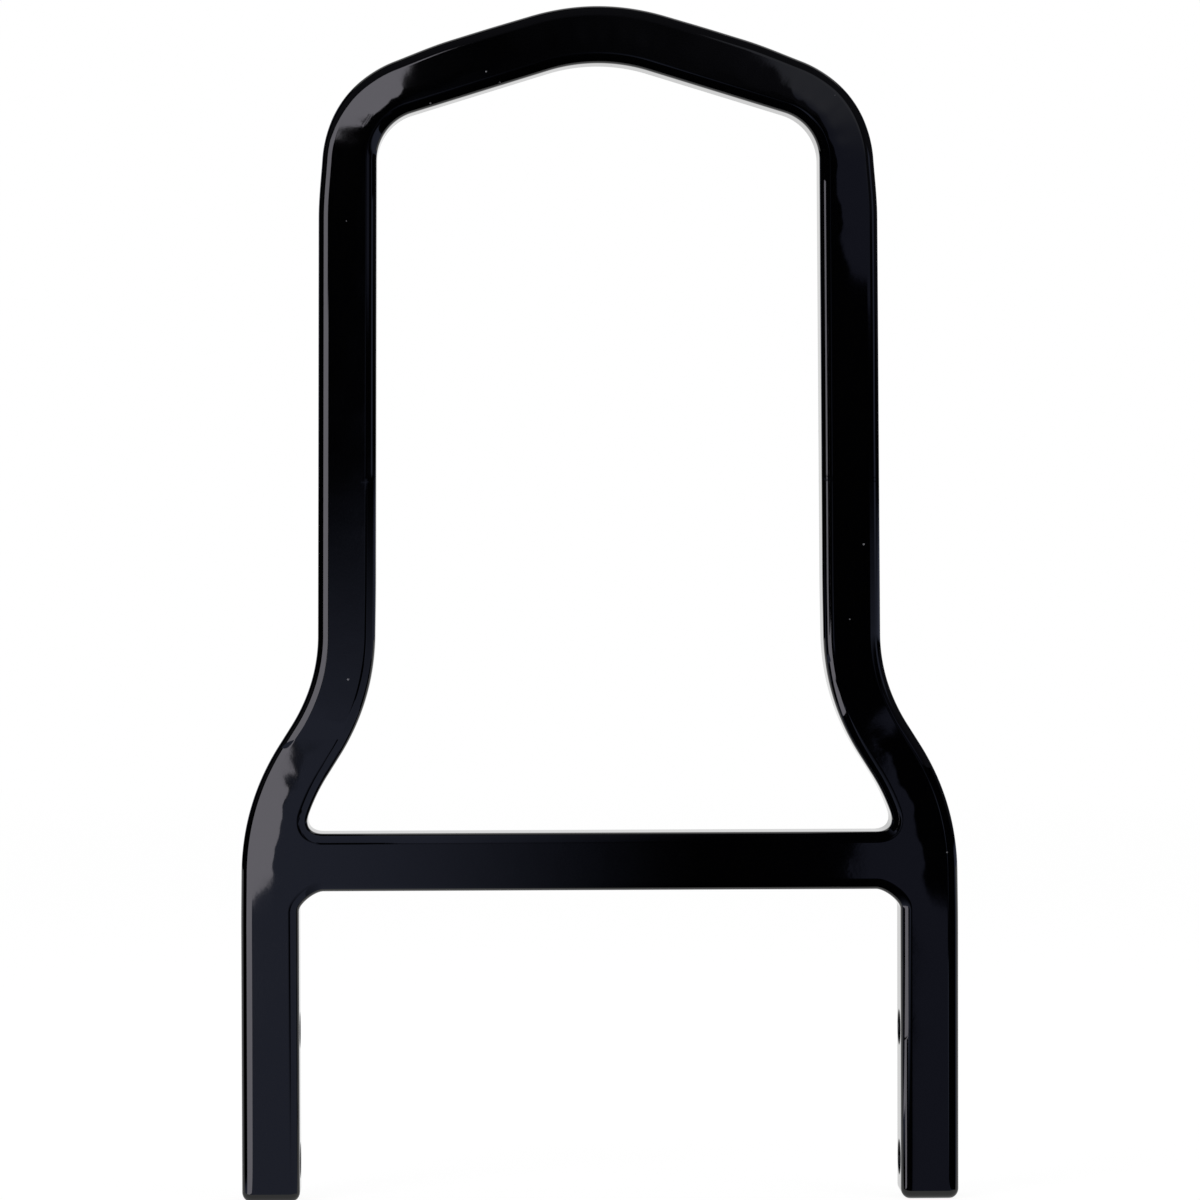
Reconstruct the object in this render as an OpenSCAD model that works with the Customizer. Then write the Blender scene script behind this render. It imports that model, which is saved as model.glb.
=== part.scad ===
// Sissy bar: a short passenger backrest frame for a motorcycle.
// One length of square bar is bent into a hoop, a crossbar is welded between its legs,
// and each leg is cross-drilled for the two bolts that hold it in its side plate.
// The frame stands in the XZ plane with its leg ends at Z = 0. Its front faces -Y.

/* [Bar] */
// Side of the square bar, with its coat
bar_w = 16; // [12:0.1:20]
// Rounding along the four long edges of the bar
edge_r = 2.3; // [0.5:0.1:4]
// Rounding ground around each leg end
end_r = 2.8; // [0.5:0.1:4]

/* [Legs and flares] */
// Clear gap between the legs
leg_gap = 166.4; // [140:0.1:240]
// Height at which the legs start to bend inward
leg_h = 91; // [70:1:130]
// Slope of the flares, in degrees from the vertical
flare_angle = 33; // [20:1:45]
// Centreline radius of the lower bend of each flare
flare_low_r = 57; // [40:1:80]
// Centreline radius of the upper bend of each flare
flare_high_r = 54; // [40:1:80]
// Straight length between the two bends of a flare
flare_run = 6.6; // [1:0.1:25]

/* [Upper hoop] */
// Overall height, from the leg ends to the peak
hoop_h = 330; // [290:1:600]
// Lean of each upper side toward the middle, in degrees
side_lean = 0.3; // [0:0.1:3]
// Centreline radius of the shoulder bends
shoulder_r = 21.7; // [18:0.1:35]
// Slope of each half of the roof, in degrees
roof_slope = 17.1; // [10:0.1:25]
// Centreline radius of the bend at the peak
peak_r = 55; // [30:1:90]

/* [Bend shape] */
// Width that the bar loses outside a bend, for each unit of its strain squared
stretch = 0.6; // [0:0.05:1]
// Depth that the faces dish in outside a bend, for each unit of its strain
dishing = 0.09; // [0:0.01:0.15]
// Length over which a bend's loss of width runs out into the straight bar
run_out = 16; // [4:1:20]

/* [Crossbar] */
// Height of the crossbar's centreline above the start of the flares
crossbar_rise = 3; // [-20:0.1:8]
// Bevel cut around each end of the crossbar for its weld
weld_bevel = 3; // [1:0.1:5]
// Gap left between the crossbar and the nearest point of the hoop
root_gap = 0.4; // [0.2:0.1:1.5]

/* [Welds] */
// Reach of the upper fillets, along the crossbar and up the hoop
upper_reach = 4.4; // [3.2:0.1:7]
// Radius of the ground face of the upper fillets
upper_face_r = 4.2; // [3.8:0.1:9]
// Reach of the lower fillets, along the crossbar and down the leg
lower_reach = 4.2; // [3.2:0.1:7]
// Radius of the ground face of the lower fillets
lower_face_r = 6; // [5:0.1:12]

/* [Bolt holes] */
// Bore of the bolt holes
hole_d = 9.5; // [5:0.1:11]
// Height of the lower hole above the leg end
hole_low = 10.9; // [9:0.1:18]
// Distance between the two holes of a leg
hole_pitch = 36.2; // [20:0.1:50]
// Chamfer at both mouths of a hole
hole_chamfer = 0.5; // [0.1:0.1:1]

/* [Hidden] */
$fn = 64;

coat = "#0c0c0e";
weld_coat = "#131316";
half_w = bar_w / 2;
leg_x = leg_gap / 2 + half_w;
// Degrees of bend between two rings of the swept bar
bend_step = 4.5;
// Rings along each run-out, points inside each half face, and steps round each corner
run_rings = 3;
face_steps = 3;
corner_steps = 4;
end_rings = 4;
// The corner rounding left where the end rounding has taken the long edges away
least_corner_r = 0.4;
// How far a cutter reaches past the face it cuts
lap = 1;

// Turn of the shoulder, and the length of an arc
shoulder_turn = 90 - roof_slope - side_lean;
function arc(r, turn) = r * turn * PI / 180;

// Rise of an arc that starts at one heading and ends at another, and its shift outward
function arc_rise(r, from, to) = r * (sin(to) - sin(from));
function arc_shift(r, from, to) = r * (cos(to) - cos(from));

// The roof and the upper sides take up what the bends leave of the width and the height
upper_x = leg_x + arc_shift(flare_low_r, 0, flare_angle) - flare_run * sin(flare_angle)
    - arc_shift(flare_high_r, flare_angle, side_lean);
upper_z = leg_h + arc_rise(flare_low_r, 0, flare_angle) + flare_run * cos(flare_angle)
    - arc_rise(flare_high_r, flare_angle, side_lean);
shoulder_shift = arc_shift(shoulder_r, side_lean, side_lean + shoulder_turn);
shoulder_rise = arc_rise(shoulder_r, side_lean, side_lean + shoulder_turn);
peak_shift = arc_shift(peak_r, 90 - roof_slope, 90);
peak_rise = arc_rise(peak_r, 90 - roof_slope, 90);
bend_height = hoop_h - half_w + width_loss(peak_r) - upper_z - shoulder_rise - peak_rise;
bend_width = upper_x + shoulder_shift + peak_shift;
corner_det = cos(side_lean) * cos(roof_slope) - sin(side_lean) * sin(roof_slope);
side_run = (bend_height * cos(roof_slope) - bend_width * sin(roof_slope)) / corner_det;
roof_run = (bend_width * cos(side_lean) - bend_height * sin(side_lean)) / corner_det;

// What a bend takes from its outside: width by the square of its strain, and face depth by its strain
function width_loss(r) = stretch * bar_w * pow(half_w / r, 2);
function dish(r) = dishing * bar_w * abs(half_w / r);

// Pieces of one half of the hoop, from the leg end to the peak: length, turn and bend radius.
// A turn outward is negative, and so is its radius.
PIECES = [
    [leg_h - end_r, 0, 0],
    [arc(flare_low_r, flare_angle), flare_angle, flare_low_r],
    [flare_run, 0, 0],
    [arc(flare_high_r, flare_angle - side_lean), side_lean - flare_angle, -flare_high_r],
    [side_run, 0, 0],
    [arc(shoulder_r, shoulder_turn), shoulder_turn, shoulder_r],
    [roof_run, 0, 0],
    [arc(peak_r, roof_slope), roof_slope, peak_r],
];

// Where each piece starts: distance along the bar, X, Z and heading
function step_along(at, piece, part) =
    let (turn = piece[1] * part, to = at[3] + turn)
    piece[2] == 0
        ? [at[0] + piece[0] * part, at[1] - piece[0] * part * sin(at[3]),
           at[2] + piece[0] * part * cos(at[3]), to]
        : [at[0] + piece[0] * part, at[1] + arc_shift(piece[2], at[3], to),
           at[2] + arc_rise(piece[2], at[3], to), to];
function start_of(i) =
    i == 0 ? [0, leg_x, end_r, 0] : step_along(start_of(i - 1), PIECES[i - 1], 1);
STARTS = [for (i = [0 : len(PIECES) - 1]) start_of(i)];

// Shares of a piece at which rings stand: evenly round a bend, and along the run-outs of a straight
function shares(piece) =
    let (run = min(run_out, piece[0] / 2) / piece[0], steps = ceil(abs(piece[1]) / bend_step))
    piece[2] != 0
        ? [for (k = [0 : steps - 1]) k / steps]
        : concat([for (k = [0 : run_rings]) run * k / run_rings],
                 [for (k = [0 : run_rings - 1]) if (1 - run + run * k / run_rings > run + 0.001)
                     1 - run + run * k / run_rings]);

// 1 inside a bend, and falling smoothly to 0 at the end of its run-out
function ease(t) = let (u = min(max(t, 0), 1)) u * u * (3 - 2 * u);
function nearness(s, i) =
    let (from = STARTS[i][0], to = from + PIECES[i][0] * (i == len(PIECES) - 1 ? 2 : 1))
    ease((min(s - from, to - s) + run_out) / (1.5 * run_out));

// Width and face depth that the bends take from the outer side (sign 1) or the inner side
// (sign -1) at a distance along the bar
function taken(s, sign) =
    let (near = [for (i = [0 : len(PIECES) - 1]) if (PIECES[i][2] * sign > 0)
            nearness(s, i) * [width_loss(PIECES[i][2]), dish(PIECES[i][2])]])
    [max([for (n = near) n[0]]), max([for (n = near) n[1]])];

// One quarter of the bar's section, from the middle of a face to the middle of a side
function quarter(lost, inset, r) =
    let (half_n = half_w - inset - lost[0],
         half_y = half_w - inset,
         slope = atan(2 * lost[1] / (half_n - r)),
         meet = half_n - r + r * sin(slope),
         drop = tan(slope) * meet / 2,
         centre = [half_n - r, half_y - drop - r * cos(slope)])
    concat(
        [for (k = [1 : face_steps - 1]) let (n = meet * k / face_steps)
            [n, half_y - tan(slope) * n * n / (2 * meet)]],
        [for (k = [0 : corner_steps]) let (a = (90 - slope) * (1 - k / corner_steps))
            centre + r * [cos(a), sin(a)]]);
function backward(list) = [for (i = [len(list) - 1 : -1 : 0]) list[i]];

// The whole section as points across the bar and through it, with its edges drawn in by inset
function section(s, inset) =
    let (r = max(edge_r - inset, least_corner_r),
         outer = quarter(taken(s, 1), inset, r),
         inner = quarter(taken(s, -1), inset, r))
    concat(
        [[0, half_w - inset]], outer,
        [for (p = backward(outer)) [p[0], -p[1]]],
        [[0, inset - half_w]], [for (p = inner) [-p[0], -p[1]]],
        [for (p = backward(inner)) [-p[0], p[1]]]);

// A ring of the sweep at a place of the half hoop, and the same ring on the other half
function ring(at, inset, side) =
    [for (p = section(at[0], inset))
        [side * (at[1] + p[0] * cos(at[3])), -p[1], at[2] + p[0] * sin(at[3])]];
function end_ring(k, side) =
    let (a = 90 * k / end_rings)
    ring([0, leg_x, end_r * (1 - sin(a)), 0], end_r * (1 - cos(a)), side);

PLACES = concat(
    [for (i = [0 : len(PIECES) - 1]) for (t = shares(PIECES[i]))
        if (i == 0 || t < 1 - 0.0001) step_along(STARTS[i], PIECES[i], t)],
    [step_along(STARTS[len(PIECES) - 1], PIECES[len(PIECES) - 1], 1)]);

// Skin of a row of rings, closed by a flat face at both ends
module skin(rings) {
    count = len(rings[0]);
    last = len(rings) - 1;
    // A cap's list starts inside a rounded corner, where no two other points are in line with it
    cap = [for (k = [0 : count - 1]) (k + face_steps + 1) % count];
    faces = concat(
        [cap],
        [for (i = [0 : last - 1]) for (k = [0 : count - 1])
            let (a = i * count + k, b = i * count + (k + 1) % count)
            each [[a, b + count, b], [a, a + count, b + count]]],
        [[for (k = backward(cap)) last * count + k]]);
    polyhedron(points = [for (r = rings) each r], faces = faces, convexity = 6);
}

// Both leg ends and everything between them, as one swept bar
module bent_bar() {
    half = [for (at = PLACES) ring(at, 0, 1)];
    rest = [for (i = [len(PLACES) - 2 : -1 : 0]) ring(PLACES[i], 0, -1)];
    skin(concat([for (k = [end_rings : -1 : 1]) end_ring(k, 1)], half,
                rest, [for (k = [1 : end_rings]) end_ring(k, -1)]));
}

// One bolt hole across a leg, chamfered at both mouths
module bolt_hole() {
    rotate([0, 90, 0]) cylinder(d = hole_d, h = bar_w + 2 * lap, center = true);
    for (side = [0, 180]) rotate([0, 90, side]) translate([0, 0, half_w - hole_chamfer])
        cylinder(d1 = hole_d, d2 = hole_d + 2 * (hole_chamfer + lap), h = hole_chamfer + lap);
}

module hoop() {
    color(coat) difference() {
        bent_bar();
        for (side = [-1, 1]) for (z = [hole_low, hole_low + hole_pitch])
            translate([side * leg_x, 0, z]) bolt_hole();
    }
}

// Inner wall of the right-hand leg at a height, on the leg or on the lower bend of its flare
function wall_x(z) =
    z <= leg_h ? leg_x - half_w
        : leg_x - flare_low_r + sqrt(pow(flare_low_r - half_w, 2) - pow(z - leg_h, 2));
crossbar_z = leg_h + crossbar_rise;
crossbar_end = wall_x(crossbar_z + half_w) - root_gap;

module bar_section() {
    for (turn = [0, 90]) rotate(turn) square([bar_w, bar_w - 2 * edge_r], center = true);
    for (x = [-1, 1]) for (y = [-1, 1])
        translate([x, y] * (half_w - edge_r)) circle(r = edge_r);
}

// Outline of the crossbar with a bevel at each corner, as seen from the front or from above
module bevelled_outline() {
    body = crossbar_end - weld_bevel;
    tip = half_w - weld_bevel;
    polygon([
        [-crossbar_end, -tip], [-body, -half_w], [body, -half_w], [crossbar_end, -tip],
        [crossbar_end, tip], [body, half_w], [-body, half_w], [-crossbar_end, tip],
    ]);
}

module crossbar() {
    color(coat) translate([0, 0, crossbar_z]) intersection() {
        rotate([0, 90, 0]) linear_extrude(2 * crossbar_end, center = true) bar_section();
        linear_extrude(bar_w + lap, center = true) bevelled_outline();
        rotate([90, 0, 0]) linear_extrude(bar_w + lap, center = true) bevelled_outline();
    }
}

// Toes of a fillet on the crossbar and on the hoop, and the centre of its ground face.
// The sign is 1 above the crossbar and -1 below it.
function bar_toe(sign, reach) =
    [wall_x(crossbar_z + sign * half_w) - reach, crossbar_z + sign * half_w];
function wall_toe(sign, reach) =
    let (z = crossbar_z + sign * (half_w + reach)) [wall_x(z), z];
function face_centre(sign, reach, r) =
    let (a = bar_toe(sign, reach), b = wall_toe(sign, reach), chord = b - a,
         away = sqrt(r * r - chord * chord / 4))
    (a + b) / 2 + sign * away / norm(chord) * [-chord[1], chord[0]];

// Body around a fillet's ground face, with the long edges of that face rounded
module around_face(centre, r) {
    size = 2 * bar_w;
    translate([centre[0], 0, centre[1]]) rotate([90, 0, 0]) rotate_extrude() {
        translate([r, edge_r - half_w]) square([edge_r, bar_w - 2 * edge_r]);
        translate([r + edge_r, -half_w]) square([size, bar_w]);
        for (side = [-1, 1]) translate([r + edge_r, side * (half_w - edge_r)]) circle(r = edge_r);
    }
}

// Half of a joint's weld metal before the bars are taken out of it, above or below the
// middle of the crossbar
module weld_half(sign, reach, r) {
    from = bar_toe(sign, reach)[0];
    to = wall_toe(sign, reach)[1];
    // The metal reaches across the rounded edge of the leg, and no further
    depth = leg_x - half_w + edge_r + lap - from;
    intersection() {
        translate([from, -bar_w, min(to, crossbar_z)])
            cube([depth, 2 * bar_w, abs(to - crossbar_z)]);
        around_face(face_centre(sign, reach, r), r);
    }
}

// Weld metal of the right-hand joint: it fills the bevels, the gap and the rounded edge of
// the leg flush with both faces, and runs out in a ground fillet above and below.
module weld() {
    low = leg_h - 2 * bar_w;
    near = [for (at = PLACES) if (at[2] > low && at[2] < leg_h + 2 * bar_w) ring(at, 0, 1)];
    difference() {
        union() {
            weld_half(1, upper_reach, upper_face_r);
            weld_half(-1, lower_reach, lower_face_r);
        }
        skin(concat([ring([0, leg_x, low, 0], 0, 1)], near));
        crossbar();
    }
}

module weld_right() {
    color(weld_coat) weld();
}

// The joint is alike front and back, so half a turn makes the left-hand one
module weld_left() {
    color(weld_coat) rotate([0, 0, 180]) weld();
}

hoop();
crossbar();
weld_left();
weld_right();
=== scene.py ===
import math

import bpy
import numpy as np
from bpy.props import FloatProperty, FloatVectorProperty, PointerProperty
from bpy.types import Operator, Panel, PropertyGroup
from mathutils import Matrix, Vector


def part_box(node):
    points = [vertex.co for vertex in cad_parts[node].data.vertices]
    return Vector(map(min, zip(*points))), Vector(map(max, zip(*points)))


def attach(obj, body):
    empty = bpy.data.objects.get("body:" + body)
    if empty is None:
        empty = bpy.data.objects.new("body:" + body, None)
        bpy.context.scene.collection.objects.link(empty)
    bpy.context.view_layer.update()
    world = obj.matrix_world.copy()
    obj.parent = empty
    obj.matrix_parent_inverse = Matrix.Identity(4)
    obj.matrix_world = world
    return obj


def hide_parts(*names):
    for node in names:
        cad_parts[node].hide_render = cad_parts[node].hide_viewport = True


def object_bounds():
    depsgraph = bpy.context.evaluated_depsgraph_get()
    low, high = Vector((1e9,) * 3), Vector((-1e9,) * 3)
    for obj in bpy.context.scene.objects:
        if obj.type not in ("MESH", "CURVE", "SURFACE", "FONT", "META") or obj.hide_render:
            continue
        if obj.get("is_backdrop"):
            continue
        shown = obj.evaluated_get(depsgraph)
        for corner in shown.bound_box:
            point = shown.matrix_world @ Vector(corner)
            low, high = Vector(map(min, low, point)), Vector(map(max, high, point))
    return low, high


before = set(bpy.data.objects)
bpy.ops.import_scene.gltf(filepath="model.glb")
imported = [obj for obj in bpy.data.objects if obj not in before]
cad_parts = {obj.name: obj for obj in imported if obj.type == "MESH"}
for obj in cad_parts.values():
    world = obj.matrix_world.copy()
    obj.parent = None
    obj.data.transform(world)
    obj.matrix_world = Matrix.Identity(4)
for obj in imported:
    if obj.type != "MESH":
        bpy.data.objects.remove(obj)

bl_info = {
    "name": "Sissy bar",
    "version": (1, 0, 0),
    "blender": (4, 5, 0),
    "location": "View3D > Sidebar > Sissy bar",
    "description": "Builds the welded and coated frame over its packed solids, and a stage for it",
    "category": "Object",
}

CAD_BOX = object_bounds()
BAR_LOW, BAR_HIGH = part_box("crossbar")
HOOP_LOW, HOOP_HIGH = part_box("hoop")
BAR_SIDE = BAR_HIGH[1] - BAR_LOW[1]
HOOP_HEIGHT = HOOP_HIGH[2] - HOOP_LOW[2]
LEG_GAP = HOOP_HIGH[0] - HOOP_LOW[0] - 2 * BAR_SIDE
CROSSBAR_HEIGHT = (BAR_LOW[2] + BAR_HIGH[2]) / 2


def length(name, description, default, low=0.0, high=1.0):
    """A length property in metres."""
    return FloatProperty(
        name=name, description=description, default=default, min=low, max=high,
        precision=4, unit="LENGTH",
    )


def angle(name, description, degrees, low=0.0):
    """An angle property, given in degrees."""
    return FloatProperty(
        name=name, description=description, default=math.radians(degrees),
        min=math.radians(low), max=math.pi / 2, subtype="ANGLE",
    )


def share(name, description, default, high=1.0):
    """A property without a unit, from nothing to a highest value."""
    return FloatProperty(name=name, description=description, default=default, min=0.0, max=high)


def colour(name, description, default):
    """A linear colour property."""
    return FloatVectorProperty(
        name=name, description=description, default=default, size=3, min=0.0, max=1.0,
        subtype="COLOR",
    )


class FrameSizes(PropertyGroup):
    """Sizes of the bent bar, its crossbar, its welds and its holes."""

    bar_side: length("Bar side", "Side of the square bar, with its coat", BAR_SIDE)
    edge_depth: length("Edge depth", "Depth of the long edges' rounding on a side", 0.0023)
    edge_width: length("Edge width", "Width of the same rounding on a face", 0.0031)
    end_round: length("End rounding", "Rounding ground around each leg end", 0.0028)
    leg_gap: length("Leg gap", "Clear gap between the legs", LEG_GAP)
    leg_height: length("Leg height", "Height at which the legs start to bend", 0.091)
    flare_angle: angle("Flare angle", "Slope of the flares from the vertical", 33)
    flare_low_radius: length("Lower flare bend", "Centreline radius of the lower bend", 0.057)
    flare_high_radius: length("Upper flare bend", "Centreline radius of the upper bend", 0.054)
    flare_run: length("Flare run", "Straight length between the flare's bends", 0.0066)
    hoop_height: length("Hoop height", "Height from the leg ends to the peak", HOOP_HEIGHT)
    side_lean: angle("Side lean", "Lean of each upper side toward the middle", 0.3)
    shoulder_radius: length("Shoulder bend", "Centreline radius of the shoulders", 0.0217)
    roof_slope: angle("Roof slope", "Slope of each half of the roof", 17.1)
    peak_radius: length("Peak bend", "Centreline radius of the bend at the peak", 0.055)
    stretch: share("Stretch", "Width lost outside a bend, by its strain squared", 0.6)
    run_out: length("Run-out", "Length in which a bend's loss of width runs out", 0.016)
    dishing: share("Dishing", "Depth that a face dips outside a bend, by its strain", 0.09)
    dish_start: length("Dish start", "Distance inward of the middle where a face dips", 0.0022)
    dish_spread: length("Dish spread", "Growth of that distance, by the bend's strain", 0.007)
    dish_run: length("Dish run-out", "Length in which a dish runs out, by its strain", 0.12)
    wander: length("Wander", "How far a dish's inner line wanders, by the strain", 0.00011)
    crossbar_height: length("Crossbar height", "Height of its centreline", CROSSBAR_HEIGHT)
    upper_reach: length("Upper fillet", "Reach of the fillets above the crossbar", 0.0055)
    lower_reach: length("Lower fillet", "Reach of the fillets below the crossbar", 0.0054)
    upper_fullness: share("Upper fullness", "How square the upper fillets run", 0.62)
    lower_fullness: share("Lower fullness", "How square the lower fillets run", 0.36)
    hole_bore: length("Hole bore", "Bore of the bolt holes", 0.0095)
    hole_low: length("Lower hole", "Height of the lower hole above the leg end", 0.0109)
    hole_pitch: length("Hole pitch", "Distance between the two holes of a leg", 0.0362)
    mouth_round: length("Mouth rounding", "Rounding of the coat at a hole's mouths", 0.0005)


class CoatLook(PropertyGroup):
    """Colours and finish of the coat."""

    black: colour("Black", "Colour of the coat", (0.0005, 0.0005, 0.0007))
    dust: colour("Dust", "Colour of the few specks of dust", (0.16, 0.16, 0.17))
    roughness: share("Roughness", "Roughness of the coat", 0.035)
    gloss_index: share("Refractive index", "Refractive index of the coat", 1.42, 2.0)
    peel_size: length("Peel size", "Size of the orange peel's cells", 0.0011)
    peel_depth: length("Peel depth", "Depth of the orange peel", 0.0000012)
    wave_size: length("Wave size", "Size of the slow waves in the faces", 0.009)
    wave_depth: length("Wave depth", "Depth of the slow waves", 0.00001)


class StageLook(PropertyGroup):
    """Camera, lamps, floor, and the glows of the cards that paint reflections."""

    camera_distance: length("Camera distance", "From the aim point", 1.47, 0.1, 5)
    camera_side: angle("Camera side", "Angle to the right of straight on", -1.36, -90)
    camera_rise: angle("Camera rise", "Angle above the horizontal", 1.29)
    camera_roll: angle("Camera roll", "Turn about the view axis", 0.148, -90)
    aim_height: length("Aim height", "Height of the aim point", 0.165)
    lens: FloatProperty(name="Lens", description="Focal length in millimetres", default=159.03)
    floor_colour: colour("Floor colour", "Pale floor", (0.93, 0.93, 0.93))
    # Glows of the cards that only gloss sees: painted reflections, not lamps
    softbox_glow: colour("Softbox glow", "Softbox at the left", (0.92, 0.89, 1.0))
    ahead_glow: colour("Glow ahead", "Dim panel ahead", (0.098, 0.110, 0.165))
    beyond_glow: colour("Glow beyond", "Dim panel at the right", (0.046, 0.050, 0.080))
    above_glow: colour("Glow above", "Panel above at the right", (0.15, 0.155, 0.18))
    overhead_glow: colour("Glow overhead", "Dim ceiling", (0.024, 0.024, 0.029))
    sheen_glow: colour("Roof glow", "Faint panel that the roof shows", (0.015, 0.015, 0.019))
    card_strength: share("Card strength", "Brightness of the reflected cards", 4.0, 20.0)


# How closely the coat's skin is divided
BEND_STEP = 0.0006
RUN_STEP = 0.0016
CLOSEST_STEP = 0.00001
FACE_STEPS = 14
CORNER_STEPS = 9
SIDE_STEPS = 8
END_RINGS = 7
FILLET_STEPS = 16
MOUTH_STEPS = 4
# Rounding left in a leg's end face, and the margin of skin around a hole's mouth
LEAST_CORNER = 0.0004
MOUTH_MARGIN = 0.0004
# Share of a dished face in which its slope sets in, and the least strain that places it
SETTING_IN = 0.35
LEAST_STRAIN = 0.1
# The waves in which a dish's inner line wanders: share, length in metres by turn, and start
DISH_WAVES = ((1.0, 0.0024, 0.6), (0.35, 0.0009, 2.1))
# Share of its length by which a run-out starts inside its bend
RUN_OUT_INSIDE = 0.5
# Points of the two halves are one if they agree to such a part of a metre
SAME_PLACE = 1e8


def rise(radius, start, stop):
    """Rise of an arc that starts at one heading and ends at another."""
    return radius * (math.sin(stop) - math.sin(start))


def shift(radius, start, stop):
    """Shift of the same arc, outward."""
    return radius * (math.cos(stop) - math.cos(start))


def step_along(place, piece, part):
    """Distance, X, Z and heading after a part of a straight or a bend."""
    s, x, z, heading = place
    run, turn, radius = piece
    after = heading + turn * part
    if radius:
        return (s + run * part, x + shift(radius, heading, after),
                z + rise(radius, heading, after), after)
    return (s + run * part, x - run * part * math.sin(heading),
            z + run * part * math.cos(heading), after)


def ease(t):
    """0 to 1, starting and stopping smoothly."""
    u = min(max(t, 0.0), 1.0)
    return u * u * (3 - 2 * u)


class Path:
    """Centreline of the right half of the hoop, from the leg end to the peak."""

    def __init__(self, size):
        self.size = size
        self.half = size.bar_side / 2
        lean, slope, flare = size.side_lean, size.roof_slope, size.flare_angle
        low, high = size.flare_low_radius, size.flare_high_radius
        shoulder, peak = size.shoulder_radius, size.peak_radius
        self.leg_x = size.leg_gap / 2 + self.half
        turn = math.pi / 2 - slope - lean
        upper_x = (self.leg_x + shift(low, 0, flare) - size.flare_run * math.sin(flare)
                   - shift(high, flare, lean))
        upper_z = (size.leg_height + rise(low, 0, flare) + size.flare_run * math.cos(flare)
                   - rise(high, flare, lean))
        tall = (size.hoop_height - self.half + self.width_loss(peak) - upper_z
                - rise(shoulder, lean, lean + turn)
                - rise(peak, math.pi / 2 - slope, math.pi / 2))
        wide = (upper_x + shift(shoulder, lean, lean + turn)
                + shift(peak, math.pi / 2 - slope, math.pi / 2))
        # The upper side and the roof take up what the bends leave of height and width
        spread = math.cos(lean + slope)
        side_run = (tall * math.cos(slope) - wide * math.sin(slope)) / spread
        roof_run = (wide * math.cos(lean) - tall * math.sin(lean)) / spread
        self.pieces = [
            (size.leg_height - size.end_round, 0.0, 0.0),
            (low * flare, flare, low),
            (size.flare_run, 0.0, 0.0),
            (high * (flare - lean), lean - flare, -high),
            (side_run, 0.0, 0.0),
            (shoulder * turn, turn, shoulder),
            (roof_run, 0.0, 0.0),
            (peak * slope, slope, peak),
        ]
        self.starts = [(0.0, self.leg_x, size.end_round, 0.0)]
        for piece in self.pieces:
            self.starts.append(step_along(self.starts[-1], piece, 1.0))
        self.end = self.starts[-1][0]

    def width_loss(self, radius):
        """Width that a bend takes from its outside."""
        return self.size.stretch * self.size.bar_side * (self.half / radius) ** 2

    def piece_at(self, s):
        """Number of the straight or the bend at a distance from the leg end."""
        return max([k for k in range(len(self.pieces)) if self.starts[k][0] <= s], default=0)

    def at(self, s):
        """Distance, X, Z and heading of the centreline at a distance from the leg end."""
        i = self.piece_at(s)
        piece = self.pieces[i]
        return step_along(self.starts[i], piece, (s - self.starts[i][0]) / piece[0])

    def curl(self, s):
        """Curvature at a distance from the leg end, positive where the bar bends inward."""
        radius = self.pieces[self.piece_at(s)][2]
        return 1 / radius if radius else 0.0

    def near(self, s, i, run):
        """1 inside a bend, falling smoothly to 0 at the end of its run-out."""
        start = self.starts[i][0]
        # The last bend, at the peak, goes on into the other half
        stop = start + self.pieces[i][0] * (2 if i == len(self.pieces) - 1 else 1)
        return ease((min(s - start, stop - s) + run) / ((1 + RUN_OUT_INSIDE) * run))

    def most(self, s, sign, value, run_out):
        """The most that the bends with their outside on one side do at a station."""
        return max([self.near(s, i, run_out(abs(piece[2]))) * value(abs(piece[2]))
                    for i, piece in enumerate(self.pieces) if piece[2] * sign > 0])

    def lost_width(self, s, sign):
        """Width lost at a station on the hoop's outer side (1) or inner side (-1)."""
        return self.most(s, sign, self.width_loss, lambda radius: self.size.run_out)

    def by_strain(self, s, amount):
        """An amount by the strain of the bends that turn inward, with the dish's run-out."""
        return self.most(s, 1, lambda radius: amount * self.half / radius,
                         lambda radius: self.size.dish_run * self.half / radius)

    def dish(self, s):
        """Depth to which the faces dip near the hoop's outside."""
        return self.by_strain(s, self.size.dishing * self.size.bar_side)

    def dish_line(self, s):
        """Place across the face where the dish starts. It wanders, as the bender left it."""
        wander = sum(part * math.sin(s / wave + turn) for part, wave, turn in DISH_WAVES)
        strain = max(self.by_strain(s, 1.0), LEAST_STRAIN)
        return (self.size.wander / strain * wander - self.size.dish_start
                - self.size.dish_spread * strain)

    def stations(self, extra):
        """Distances at which rings stand: close together in and near the bends."""
        marks = set(extra)
        for i, (run, _, radius) in enumerate(self.pieces):
            start = self.starts[i][0]
            steps = math.ceil(run / (BEND_STEP if radius else RUN_STEP))
            marks.update(start + run * k / steps for k in range(steps + 1))
        marks.add(self.end)
        kept = []
        for mark in sorted(marks):
            if kept and mark - kept[-1] < CLOSEST_STEP:
                if mark in extra or mark == self.end:
                    kept[-1] = mark
            else:
                kept.append(mark)
        return kept


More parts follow.
